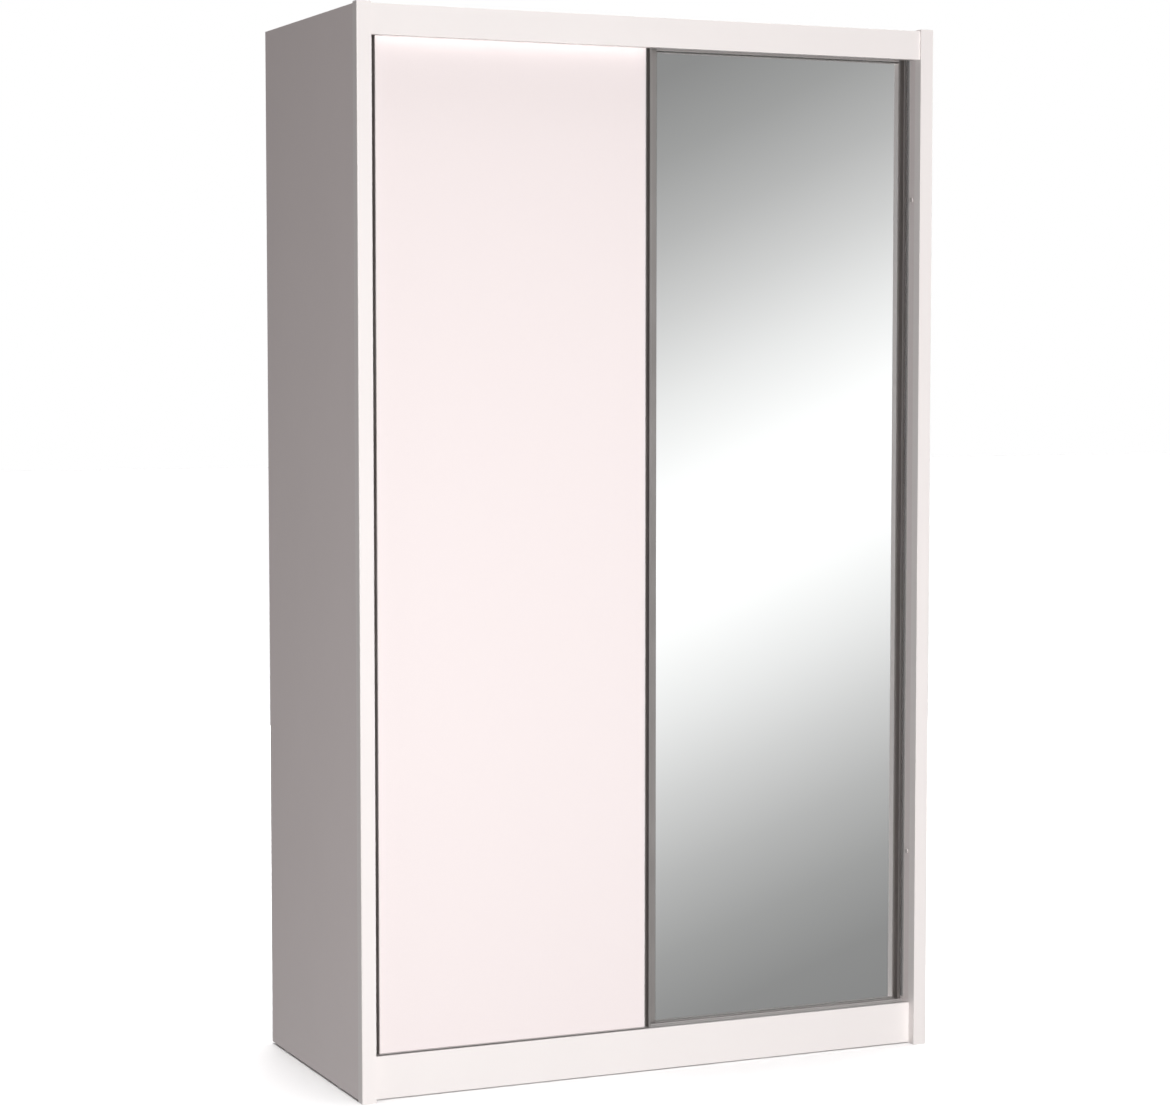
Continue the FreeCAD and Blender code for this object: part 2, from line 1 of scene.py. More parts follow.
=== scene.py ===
import logging
import math
import random
from dataclasses import dataclass, field
from enum import Enum
from typing import Any, Iterable, Sequence

import bmesh
import bpy
from mathutils import Matrix, Vector


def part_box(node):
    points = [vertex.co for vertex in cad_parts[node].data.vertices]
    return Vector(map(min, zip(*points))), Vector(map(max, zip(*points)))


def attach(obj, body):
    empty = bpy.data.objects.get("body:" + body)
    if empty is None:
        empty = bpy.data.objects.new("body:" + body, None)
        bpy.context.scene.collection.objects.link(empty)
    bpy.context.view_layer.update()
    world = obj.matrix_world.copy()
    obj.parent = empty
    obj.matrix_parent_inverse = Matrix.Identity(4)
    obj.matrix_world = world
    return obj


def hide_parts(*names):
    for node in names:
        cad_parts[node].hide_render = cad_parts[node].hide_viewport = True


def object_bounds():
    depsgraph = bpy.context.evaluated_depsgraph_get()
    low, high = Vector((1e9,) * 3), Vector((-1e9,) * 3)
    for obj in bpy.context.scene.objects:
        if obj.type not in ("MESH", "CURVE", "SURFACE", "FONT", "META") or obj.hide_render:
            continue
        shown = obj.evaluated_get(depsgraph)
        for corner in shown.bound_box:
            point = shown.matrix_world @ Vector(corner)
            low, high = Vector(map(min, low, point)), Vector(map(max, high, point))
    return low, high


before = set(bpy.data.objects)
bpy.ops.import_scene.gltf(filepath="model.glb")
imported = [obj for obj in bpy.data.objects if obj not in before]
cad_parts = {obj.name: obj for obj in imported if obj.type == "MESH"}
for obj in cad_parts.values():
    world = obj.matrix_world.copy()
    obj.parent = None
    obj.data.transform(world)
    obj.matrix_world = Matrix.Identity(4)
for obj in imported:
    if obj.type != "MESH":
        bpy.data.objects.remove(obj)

# Sliding door wardrobe: finishes, brushes, screw heads, stage, lights and camera, built round
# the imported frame.  Metres; +Z up, doors face -Y.

log = logging.getLogger("wardrobe")
CAD_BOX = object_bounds()
MM = 0.001

Colour = tuple[float, float, float]


class Grain(Enum):
    """Which way a brushed or drawn metal's fine lines run."""

    UPRIGHT = (1.0, 1.0, 0.004)
    ALONG_X = (0.004, 1.0, 1.0)


# ------------------------------------------------------------------------------ node writing
class Shading:
    """Writes one material's nodes, all on Object coordinates."""

    def __init__(self, name: str) -> None:
        """Make an empty material with a Principled shader.

        Args:
            name: the material's name.
        """
        self.material = bpy.data.materials.new(name)
        self.material.use_nodes = True
        self.nodes = self.material.node_tree.nodes
        self.links = self.material.node_tree.links
        self.shader = self.nodes["Principled BSDF"]
        self.place = self.nodes.new("ShaderNodeTexCoord").outputs["Object"]

    def add(self, kind: str, **settings: Any) -> bpy.types.Node:
        """Add a node and set its properties.

        Args:
            kind: the node's type.
            settings: property names and values.

        Returns:
            The new node.
        """
        node = self.nodes.new(kind)
        for key, value in settings.items():
            setattr(node, key, value)
        return node

    def stretched(self, scale: Sequence[float]) -> bpy.types.NodeSocket:
        """Object coordinates, scaled along each axis.

        Args:
            scale: the factor on X, Y and Z.

        Returns:
            The vector output.
        """
        mapping = self.add("ShaderNodeMapping")
        mapping.inputs["Scale"].default_value = scale
        self.links.new(self.place, mapping.inputs["Vector"])
        return mapping.outputs["Vector"]

    def noise(self, size: float, detail: float = 3.0,
              along: Sequence[float] = (1.0, 1.0, 1.0)) -> bpy.types.NodeSocket:
        """Soft noise.

        Args:
            size: the width of one blotch, in metres.
            detail: how many finer layers.
            along: stretch on each axis.

        Returns:
            The factor output, 0 to 1.
        """
        node = self.add("ShaderNodeTexNoise")
        node.inputs["Scale"].default_value = 1.0 / size
        node.inputs["Detail"].default_value = detail
        self.links.new(self.stretched(along), node.inputs["Vector"])
        return node.outputs["Fac"]

    def span(self, factor: bpy.types.NodeSocket, low: float, high: float) -> bpy.types.NodeSocket:
        """Map a noise's middle range to two values.

        Args:
            factor: a noise output.
            low: the value at 0.3.
            high: the value at 0.7.

        Returns:
            The mapped output.
        """
        node = self.add("ShaderNodeMapRange")
        for key, value in (("From Min", 0.3), ("From Max", 0.7), ("To Min", low), ("To Max", high)):
            node.inputs[key].default_value = value
        self.links.new(factor, node.inputs["Value"])
        return node.outputs["Result"]

    def blend(self, factor: bpy.types.NodeSocket, first: Colour, second: Colour) -> bpy.types.NodeSocket:
        """Mix two colours.

        Args:
            factor: 0 gives the first, 1 the second.
            first: a colour.
            second: a colour.

        Returns:
            The colour output.
        """
        node = self.add("ShaderNodeMix", data_type="RGBA")
        self.links.new(factor, node.inputs["Factor"])
        node.inputs["A"].default_value = (*first, 1.0)
        node.inputs["B"].default_value = (*second, 1.0)
        return node.outputs["Result"]

    def bump(self, *layers: tuple[bpy.types.NodeSocket, float, float]) -> None:
        """Stack height layers into the shader's normal.

        Args:
            layers: each a height output, its depth in metres and its strength.
        """
        normal = None
        for height, depth, strength in layers:
            node = self.add("ShaderNodeBump")
            node.inputs["Distance"].default_value = depth
            node.inputs["Strength"].default_value = strength
            self.links.new(height, node.inputs["Height"])
            if normal is not None:
                self.links.new(normal, node.inputs["Normal"])
            normal = node.outputs["Normal"]
        self.links.new(normal, self.shader.inputs["Normal"])

    def set(self, **values: Any) -> None:
        """Set or link the shader's sockets; underscores stand for spaces.

        Args:
            values: socket names and numbers, colours or outputs.
        """
        for key, value in values.items():
            socket = self.shader.inputs[key.replace("_", " ")]
            if isinstance(value, bpy.types.NodeSocket):
                self.links.new(value, socket)
            else:
                socket.default_value = (*value, 1.0) if isinstance(value, tuple) else value


def darker(colour: Colour, share: float) -> Colour:
    """Scale a colour.

    Args:
        colour: the colour.
        share: the factor on each channel.

    Returns:
        The scaled colour.
    """
    return tuple(channel * share for channel in colour)


# ------------------------------------------------------------------------------ finishes
@dataclass(frozen=True)
class Laminate:
    """Melamine-faced board: a faint mottle, a pressed paper-fine texture and a low even gloss."""

    name: str
    colour: Colour
    roughness: float = 0.42
    texture_depth: float = 0.00003
    gloss: float = 0.35

    def material(self) -> bpy.types.Material:
        """Build the material.

        Returns:
            The finished material.
        """
        work = Shading(self.name)
        mottle = work.noise(0.16, 4.0)
        grain = work.noise(0.0011, 2.0)
        pores = work.noise(0.0045, 3.0, (1.0, 1.0, 0.25))
        work.set(Base_Color=work.blend(mottle, self.colour, darker(self.colour, 0.965)),
                 Roughness=work.span(pores, self.roughness - 0.05, self.roughness + 0.05),
                 Specular_IOR_Level=self.gloss)
        work.bump((pores, self.texture_depth, 0.35), (grain, self.texture_depth, 0.25))
        return work.material


@dataclass(frozen=True)
class LacqueredPanel:
    """The plain door's face: smooth lacquer with a long, very shallow ripple."""

    name: str
    colour: Colour

    def material(self) -> bpy.types.Material:
        """Build the material.

        Returns:
            The finished material.
        """
        work = Shading(self.name)
        tone = work.noise(0.9, 1.0)
        fine = work.noise(0.0012, 2.0)
        work.set(Base_Color=work.blend(tone, self.colour, darker(self.colour, 0.99)),
                 Roughness=work.span(fine, 0.25, 0.29), Specular_IOR_Level=0.4,
                 Coat_Weight=0.25, Coat_Roughness=0.12)
        work.bump((work.noise(0.006, 2.0), 0.00001, 0.1), (fine, 0.00002, 0.15))
        return work.material


@dataclass(frozen=True)
class DrawnMetal:
    """Anodised or zinc-plated metal with fine lines along its length."""

    name: str
    colour: Colour
    roughness: float
    grain: Grain = Grain.UPRIGHT
    line_width: float = 0.0005
    metal: float = 1.0

    def material(self) -> bpy.types.Material:
        """Build the material.

        Returns:
            The finished material.
        """
        work = Shading(self.name)
        lines = work.noise(self.line_width, 3.0, self.grain.value)
        clouding = work.noise(0.09, 3.0)
        tone = work.blend(lines, darker(self.colour, 0.88), self.colour)
        work.set(Base_Color=tone, Metallic=self.metal,
                 Roughness=work.span(clouding, self.roughness - 0.05, self.roughness + 0.06))
        work.bump((lines, 0.00003, 0.3))
        return work.material


@dataclass(frozen=True)
class SilveredGlass:
    """Mirror: silvered face, and ground edges that show the glass's green."""

    name: str
    silver: Colour
    edge: Colour

    def material(self) -> bpy.types.Material:
        """Build the material.

        Returns:
            The finished material.
        """
        work = Shading(self.name)
        facing = work.add("ShaderNodeNewGeometry").outputs["Normal"]
        split = work.add("ShaderNodeSeparateXYZ")
        work.links.new(facing, split.inputs["Vector"])
        flat = work.add("ShaderNodeMath", operation="ABSOLUTE")
        work.links.new(split.outputs["Y"], flat.inputs[0])
        on_face = work.add("ShaderNodeMath", operation="GREATER_THAN")
        work.links.new(flat.outputs[0], on_face.inputs[0])
        on_face.inputs[1].default_value = 0.6
        haze = work.noise(0.12, 4.0)
        tone = work.blend(haze, self.silver, darker(self.silver, 0.992))
        mix = work.add("ShaderNodeMix", data_type="RGBA")
        work.links.new(on_face.outputs[0], mix.inputs["Factor"])
        mix.inputs["A"].default_value = (*self.edge, 1.0)
        work.links.new(tone, mix.inputs["B"])
        rough = work.add("ShaderNodeMapRange")
        work.links.new(on_face.outputs[0], rough.inputs["Value"])
        rough.inputs["To Min"].default_value = 0.3
        rough.inputs["To Max"].default_value = 0.0
        work.set(Base_Color=mix.outputs["Result"], Metallic=on_face.outputs[0],
                 Roughness=rough.outputs["Result"])
        return work.material


@dataclass(frozen=True)
class Moulded:
    """Moulded plastic or rubber with a fine spark-eroded skin."""

    name: str
    colour: Colour
    roughness: float = 0.5

    def material(self) -> bpy.types.Material:
        """Build the material.

        Returns:
            The finished material.
        """
        work = Shading(self.name)
        tone = work.noise(0.012, 3.0)
        skin = work.noise(0.0006, 2.0)
        work.set(Base_Color=work.blend(tone, self.colour, darker(self.colour, 0.9)),
                 Roughness=work.span(skin, self.roughness - 0.06, self.roughness + 0.08),
                 Specular_IOR_Level=0.4)
        work.bump((skin, 0.00004, 0.4))
        return work.material


@dataclass(frozen=True)
class Hardboard:
    """Pressed fibre board with a thin painted face: matted fibres show through."""

    name: str
    colour: Colour
    fibre: Colour

    def material(self) -> bpy.types.Material:
        """Build the material.

        Returns:
            The finished material.
        """
        work = Shading(self.name)
        mat = work.noise(0.006, 6.0)
        threads = work.noise(0.0015, 3.0, (1.0, 1.0, 0.3))
        cover = work.add("ShaderNodeMapRange")
        cover.inputs["From Min"].default_value = 0.55
        cover.inputs["From Max"].default_value = 0.85
        work.links.new(mat, cover.inputs["Value"])
        work.set(Base_Color=work.blend(cover.outputs["Result"], self.colour, self.fibre),
                 Roughness=work.span(mat, 0.62, 0.8), Specular_IOR_Level=0.25)
        work.bump((mat, 0.0001, 0.35), (threads, 0.00006, 0.4))
        return work.material


@dataclass(frozen=True)
class Pile:
    """The brushes' fibres: each one a slightly different grey."""

    name: str
    colour: Colour

    def material(self) -> bpy.types.Material:
        """Build the material.

        Returns:
            The finished material.
        """
        work = Shading(self.name)
        strands = work.noise(0.0007, 2.0)
        work.set(Base_Color=work.blend(strands, self.colour, darker(self.colour, 0.6)),
                 Roughness=0.85, Sheen_Weight=0.3, Sheen_Roughness=0.5)
        work.bump((strands, 0.00008, 0.5))
        return work.material


BOARD_WHITE: Colour = (0.86, 0.795, 0.785)
DOOR_WHITE: Colour = (0.90, 0.82, 0.815)

FINISHES: dict[str, Any] = {
    "board": Laminate("white_laminate", BOARD_WHITE),
    "post": Laminate("white_post_foil", (0.90, 0.855, 0.84), 0.36, 0.00002, 0.4),
    "door": LacqueredPanel("white_door_lacquer", DOOR_WHITE),
    "hardboard": Hardboard("painted_hardboard", (0.74, 0.70, 0.68), (0.64, 0.60, 0.575)),
    "backing": Hardboard("raw_backing_board", (0.36, 0.29, 0.23), (0.24, 0.18, 0.13)),
    "stile": DrawnMetal("anodised_stile", (0.52, 0.49, 0.475), 0.36, metal=0.85),
    "strip": DrawnMetal("anodised_strip", (0.62, 0.58, 0.57), 0.38, Grain.ALONG_X, metal=0.55),
    "track": DrawnMetal("anodised_track", (0.70, 0.67, 0.66), 0.36, Grain.ALONG_X, metal=0.6),
    "rail": DrawnMetal("chromed_rail", (0.78, 0.78, 0.79), 0.1, Grain.ALONG_X),
    "zinc": DrawnMetal("zinc_plate", (0.60, 0.59, 0.55), 0.34, Grain.UPRIGHT, 0.0012),
    "mirror": SilveredGlass("silvered_glass", (0.93, 0.94, 0.935), (0.36, 0.46, 0.42)),
    "grey_plastic": Moulded("grey_nylon", (0.16, 0.16, 0.165), 0.48),
    "white_plastic": Moulded("white_nylon", (0.74, 0.73, 0.71), 0.42),
    "buffer": Moulded("pale_rubber", (0.62, 0.58, 0.57), 0.6),
    "pile": Pile("grey_pile", (0.33, 0.32, 0.315)),
}


class Paints:
    """Makes each finish once and hands it out."""

    def __init__(self) -> None:
        """Start with nothing made."""
        self.made: dict[str, bpy.types.Material] = {}

    def get(self, name: str) -> bpy.types.Material:
        """The finish's material.

        Args:
            name: a key of FINISHES.

        Returns:
            The material, made on first use.
        """
        if name not in self.made:
            self.made[name] = FINISHES[name].material()
        return self.made[name]


PAINTS = Paints()


# ------------------------------------------------------------------------------ frame pieces
def dress(node: str, finish: str, edge: float = 0.0, clamped: bool = False) -> None:
    """Give a frame piece its finish and, if asked, broken edges.

    Args:
        node: the piece's name.
        finish: a key of FINISHES.
        edge: the width of the edge rounding, in metres.
        clamped: whether crowded edges get a narrower rounding.
    """
    thing = bpy.data.objects[node]
    thing.data.materials.clear()
    thing.data.materials.append(PAINTS.get(finish))
    if edge:
        weld = thing.modifiers.new("weld", "WELD")
        weld.merge_threshold = 0.00001
        bevel = thing.modifiers.new("edge", "BEVEL")
        bevel.width = edge
        bevel.segments = 2
        bevel.limit_method = "ANGLE"
        bevel.angle_limit = math.radians(40)
        bevel.use_clamp_overlap = clamped
    log.info("dressed %s in %s", node, finish)


def settle(mesh: bpy.types.Mesh, name: str, body: str, stands_for: Sequence[str] = ()) -> None:
    """Make a finished piece of a mesh and tie it to its body.

    Args:
        mesh: the piece's mesh, in place.
        name: the piece's name.
        body: the body that it rides on.
        stands_for: frame pieces that it replaces.
    """
    piece = bpy.data.objects.new(name, mesh)
    bpy.context.collection.objects.link(piece)
    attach(piece, body)
    if stands_for:
        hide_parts(*stands_for)
    log.info("made %s: %d faces", name, len(mesh.polygons))


# ------------------------------------------------------------------------------ small shapes
def disc_loop(work: bmesh.types.BMesh, radius: float, height: float, sides: int) -> list[Any]:
    """A ring of vertices about +Z.

    Args:
        work: the mesh being built.
        radius: the ring's radius.
        height: its height.
        sides: how many vertices.

    Returns:
        The vertices in order.
    """
    step = 2 * math.pi / sides
    return [work.verts.new((radius * math.cos(step * i), radius * math.sin(step * i), height))
            for i in range(sides)]


def skin(work: bmesh.types.BMesh, lower: list[Any], upper: list[Any]) -> None:
    """Join two rings of the same length with quads.

    Args:
        work: the mesh being built.
        lower: one ring.
        upper: the other ring.
    """
    count = len(lower)
    for i in range(count):
        work.faces.new((lower[i], lower[(i + 1) % count], upper[(i + 1) % count], upper[i]))


def cross_head(radius: float, height: float, shank: float, length: float) -> bpy.types.Mesh:
    """A screw or cam: domed rim, cross-shaped driver recess and a round shank below.

    Args:
        radius: the head's radius.
        height: the head's height above 0.
        shank: the shank's radius.
        length: how far the shank goes below 0.

    Returns:
        The mesh, its head towards +Z.
    """
    work = bmesh.new()
    sides = 24
    arm, half = radius * 0.55, radius * 0.13
    foot = disc_loop(work, shank, -length, sides)
    neck = disc_loop(work, shank, 0.0, sides)
    seat = disc_loop(work, radius, 0.0, sides)
    rim = disc_loop(work, radius, height * 0.6, sides)
    lip = disc_loop(work, radius * 0.88, height, sides)
    work.faces.new(list(reversed(foot)))
    for lower, upper in ((foot, neck), (neck, seat), (seat, rim), (rim, lip)):
        skin(work, lower, upper)
    outline = []
    for quarter in range(4):
        turn = Matrix.Rotation(quarter * math.pi / 2, 3, "Z")
        outline += [turn @ Vector(p) for p in ((arm, -half, 0), (arm, half, 0), (half, half, 0))]
    top = [work.verts.new((p.x, p.y, height)) for p in outline]
    deep = [work.verts.new((p.x * 0.7, p.y * 0.7, height * 0.25)) for p in outline]
    count = len(top)
    for i in range(count):
        work.faces.new((top[i], top[(i + 1) % count], deep[(i + 1) % count], deep[i]))
    work.faces.new(deep)
    edges = [work.edges.get((ring[i], ring[(i + 1) % len(ring)]))
             for ring in (lip, top) for i in range(len(ring))]
    for i, edge in enumerate(edges):
        if edge is None:
            ring, at = (lip, i) if i < sides else (top, i - sides)
            edges[i] = work.edges.new((ring[at], ring[(at + 1) % len(ring)]))
    bmesh.ops.triangle_fill(work, use_beauty=True, edges=edges)
    bmesh.ops.recalc_face_normals(work, faces=work.faces)
    mesh = bpy.data.meshes.new("cross_head")
    work.to_mesh(mesh)
    work.free()
    return mesh


def round_head(radius: float, height: float, shank: float, length: float) -> bpy.types.Mesh:
    """A nail: a low dome on a thin shank.

    Args:
        radius: the head's radius.
        height: the dome's height above 0.
        shank: the shank's radius.
        length: how far the shank goes below 0.

    Returns:
        The mesh, its head towards +Z.
    """
    work = bmesh.new()
    sides = 16
    rings = [disc_loop(work, shank, -length, sides), disc_loop(work, shank, 0.0, sides)]
    for share in (1.0, 0.92, 0.7, 0.35):
        rings.append(disc_loop(work, radius * share, height * math.sqrt(1 - share ** 2), sides))
    work.faces.new(list(reversed(rings[0])))
    work.faces.new(rings[-1])
    for lower, upper in zip(rings, rings[1:]):
        skin(work, lower, upper)
    bmesh.ops.recalc_face_normals(work, faces=work.faces)
    mesh = bpy.data.meshes.new("round_head")
    work.to_mesh(mesh)
    work.free()
    return mesh


def tuft(radius: float, length: float) -> bpy.types.Mesh:
    """One tuft of pile: a four-sided spike towards +Z.

    Args:
        radius: the tuft's radius at its foot.
        length: its length.

    Returns:
        The mesh.
    """
    work = bmesh.new()
    foot = disc_loop(work, radius, 0.0, 4)
    tip = disc_loop(work, radius * 0.45, length, 4)
    work.faces.new(list(reversed(foot)))
    work.faces.new(tip)
    skin(work, foot, tip)
    mesh = bpy.data.meshes.new("tuft")
    work.to_mesh(mesh)
    work.free()
    return mesh


def bar(low: Sequence[float], high: Sequence[float], edge: float) -> bmesh.types.BMesh:
    """A straight bar with rounded long edges.

    Args:
        low: its lowest corner.
        high: its highest corner.
        edge: the rounding.

    Returns:
        The mesh being built, for the caller to finish.
    """
    work = bmesh.new()
    bmesh.ops.create_cube(work, size=1.0)
    for vert in work.verts:
        vert.co = Vector([low[i] + (vert.co[i] + 0.5) * (high[i] - low[i]) for i in range(3)])
    bmesh.ops.bevel(work, geom=list(work.edges), offset=edge, segments=2, affect="EDGES", profile=0.5)
    return work


# ------------------------------------------------------------------------------ repeated parts
class Planting:
    """A node tree that sets one part on every point, leaning a little at random."""

    def __init__(self) -> None:
        """Build the tree once."""
        tree = bpy.data.node_groups.new("planting", "GeometryNodeTree")
        face = tree.interface
        kinds = {"Points": "NodeSocketGeometry", "Part": "NodeSocketObject", "Turn": "NodeSocketRotation",
                 "Lean": "NodeSocketFloat", "Shortest": "NodeSocketFloat", "Seed": "NodeSocketInt",
                 "Finish": "NodeSocketMaterial"}
        self.keys = {name: face.new_socket(name=name, in_out="INPUT", socket_type=kind).identifier
                     for name, kind in kinds.items()}
        face.new_socket(name="Result", in_out="OUTPUT", socket_type="NodeSocketGeometry")
        new, link = tree.nodes.new, tree.links.new
        entry, leave = new("NodeGroupInput"), new("NodeGroupOutput")
        dots = new("GeometryNodeMeshToPoints")
        plant = new("GeometryNodeInstanceOnPoints")
        part = new("GeometryNodeObjectInfo")
        lean = new("FunctionNodeRandomValue")
        lean.data_type = "FLOAT_VECTOR"
        least = new("ShaderNodeMath")
        least.operation = "MULTIPLY"
        least.inputs[1].default_value = -1.0
        low, high = new("ShaderNodeCombineXYZ"), new("ShaderNodeCombineXYZ")
        tilt = new("FunctionNodeEulerToRotation")
        turn = new("FunctionNodeRotateRotation")
        turn.rotation_space = "LOCAL"
        length = new("FunctionNodeRandomValue")
        length.data_type = "FLOAT"
        size = new("ShaderNodeCombineXYZ")
        size.inputs["X"].default_value = 1.0
        size.inputs["Y"].default_value = 1.0
        real, coat = new("GeometryNodeRealizeInstances"), new("GeometryNodeSetMaterial")
        link(entry.outputs["Points"], dots.inputs["Mesh"])
        link(dots.outputs["Points"], plant.inputs["Points"])
        link(entry.outputs["Part"], part.inputs["Object"])
        link(part.outputs["Geometry"], plant.inputs["Instance"])
        link(entry.outputs["Lean"], least.inputs[0])
        for axis in "XY":
            link(least.outputs[0], low.inputs[axis])
            link(entry.outputs["Lean"], high.inputs[axis])
        link(low.outputs[0], lean.inputs["Min"])
        link(high.outputs[0], lean.inputs["Max"])
        link(entry.outputs["Seed"], lean.inputs["Seed"])
        link(lean.outputs["Value"], tilt.inputs["Euler"])
        link(entry.outputs["Turn"], turn.inputs["Rotation"])
        link(tilt.outputs["Rotation"], turn.inputs["Rotate By"])
        link(turn.outputs["Rotation"], plant.inputs["Rotation"])
        floats = [socket for socket in length.inputs if socket.type == "VALUE"]
        link(entry.outputs["Shortest"], floats[0])
        floats[1].default_value = 1.0
        link(entry.outputs["Seed"], length.inputs["Seed"])
        link([s for s in length.outputs if s.type == "VALUE"][0], size.inputs["Z"])
        link(size.outputs[0], plant.inputs["Scale"])
        link(plant.outputs["Instances"], real.inputs["Geometry"])
        link(real.outputs["Geometry"], coat.inputs["Geometry"])
        link(entry.outputs["Finish"], coat.inputs["Material"])
        link(coat.outputs["Geometry"], leave.inputs["Result"])
        self.tree = tree

    def grow(self, part: bpy.types.Mesh, places: Iterable[Sequence[float]], finish: str,
             turn: Sequence[float] = (0.0, 0.0, 0.0), lean: float = 0.0, shortest: float = 1.0,
             seed: int = 1) -> bpy.types.Mesh:
        """Set a part on every place and return it all as one plain mesh.

        Args:
            part: the part's mesh, standing along +Z.
            places: where each one goes.
            finish: a key of FINISHES.
            turn: Euler angles that stand the part up.
            lean: the largest random lean, in radians.
            shortest: the smallest random length, as a share.
            seed: the fixed seed.

        Returns:
            The joined mesh.
        """
        dots = bpy.data.meshes.new("places")
        dots.from_pydata([tuple(place) for place in places], [], [])
        seed_part = bpy.data.objects.new("seed_part", part)
        bed = bpy.data.objects.new("bed", dots)
        for thing in (seed_part, bed):
            bpy.context.collection.objects.link(thing)
        modifier = bed.modifiers.new("planting", "NODES")
        modifier.node_group = self.tree
        inputs = {"Part": seed_part, "Turn": turn, "Lean": lean, "Shortest": shortest, "Seed": seed,
                  "Finish": PAINTS.get(finish)}
        for name, value in inputs.items():
            modifier[self.keys[name]] = value
        view = bpy.context.evaluated_depsgraph_get()
        mesh = bpy.data.meshes.new_from_object(bed.evaluated_get(view), depsgraph=view)
        bed.modifiers.remove(modifier)
        for thing in (bed, seed_part):
            bpy.data.objects.remove(thing)
        if not mesh.materials:
            mesh.materials.append(PAINTS.get(finish))
        return mesh


TOWARDS = {"+Z": (0.0, 0.0, 0.0), "-Z": (math.pi, 0.0, 0.0), "+Y": (-math.pi / 2, 0.0, 0.0),
           "+X": (0.0, math.pi / 2, 0.0), "-X": (0.0, -math.pi / 2, 0.0)}


def islands(node: str) -> list[tuple[Vector, Vector]]:
    """The box of each loose solid in a frame piece.

    Args:
        node: the piece's name.

    Returns:
        Lowest and highest corner of each, in a steady order.
    """
    work = bmesh.new()
    work.from_mesh(bpy.data.objects[node].data)
    bmesh.ops.remove_doubles(work, verts=work.verts, dist=0.00001)
    todo, boxes = set(work.verts), []
    while todo:
        reach, island = [todo.pop()], []
        while reach:
            vert = reach.pop()
            island.append(vert.co.copy())
            for edge in vert.link_edges:
                other = edge.other_vert(vert)
                if other in todo:
                    todo.remove(other)
                    reach.append(other)
        boxes.append((Vector([min(p[i] for p in island) for i in range(3)]),
                      Vector([max(p[i] for p in island) for i in range(3)])))
    work.free()
    return sorted(boxes, key=lambda pair: tuple(round(c, 4) for c in pair[0]))


# ------------------------------------------------------------------------------ sub-assemblies
@dataclass
class Cabinet:
    """The boards, posts, plinths and back of the cabinet."""

    board_edge: float = 0.4 * MM
    post_edge: float = 0.7 * MM
    boards: tuple[str, ...] = (
        "left_side_panel", "right_side_panel", "top_panel", "bottom_panel", "rear_plinth",
        "centre_stretcher", "centre_partition", "left_hat_shelf", "right_hat_shelf",
        "lower_shelf", "middle_shelf", "upper_shelf", "left_jamb_liner", "right_jamb_liner")

    def build(self) -> None:
        """Dress every board."""
        for name in self.boards:
            dress(name, "board", self.board_edge)
        for name in ("left_front_post", "right_front_post", "top_fascia", "front_plinth"):
            dress(name, "post", self.post_edge, clamped=name.endswith("post"))
        for name in ("left_back_board", "right_back_board"):
            dress(name, "hardboard")
        for name in ("floor_glides", "plinth_brackets"):
            dress(name, "white_plastic", 0.3 * MM)


@dataclass
class HangingRail:
    """The rail and the sockets that carry it."""

    def build(self) -> None:
        """Dress the rail and its sockets."""
        dress("hanging_rail", "rail")
        for side in ("left", "right"):
            dress(f"{side}_rail_socket", "rail", 0.3 * MM)


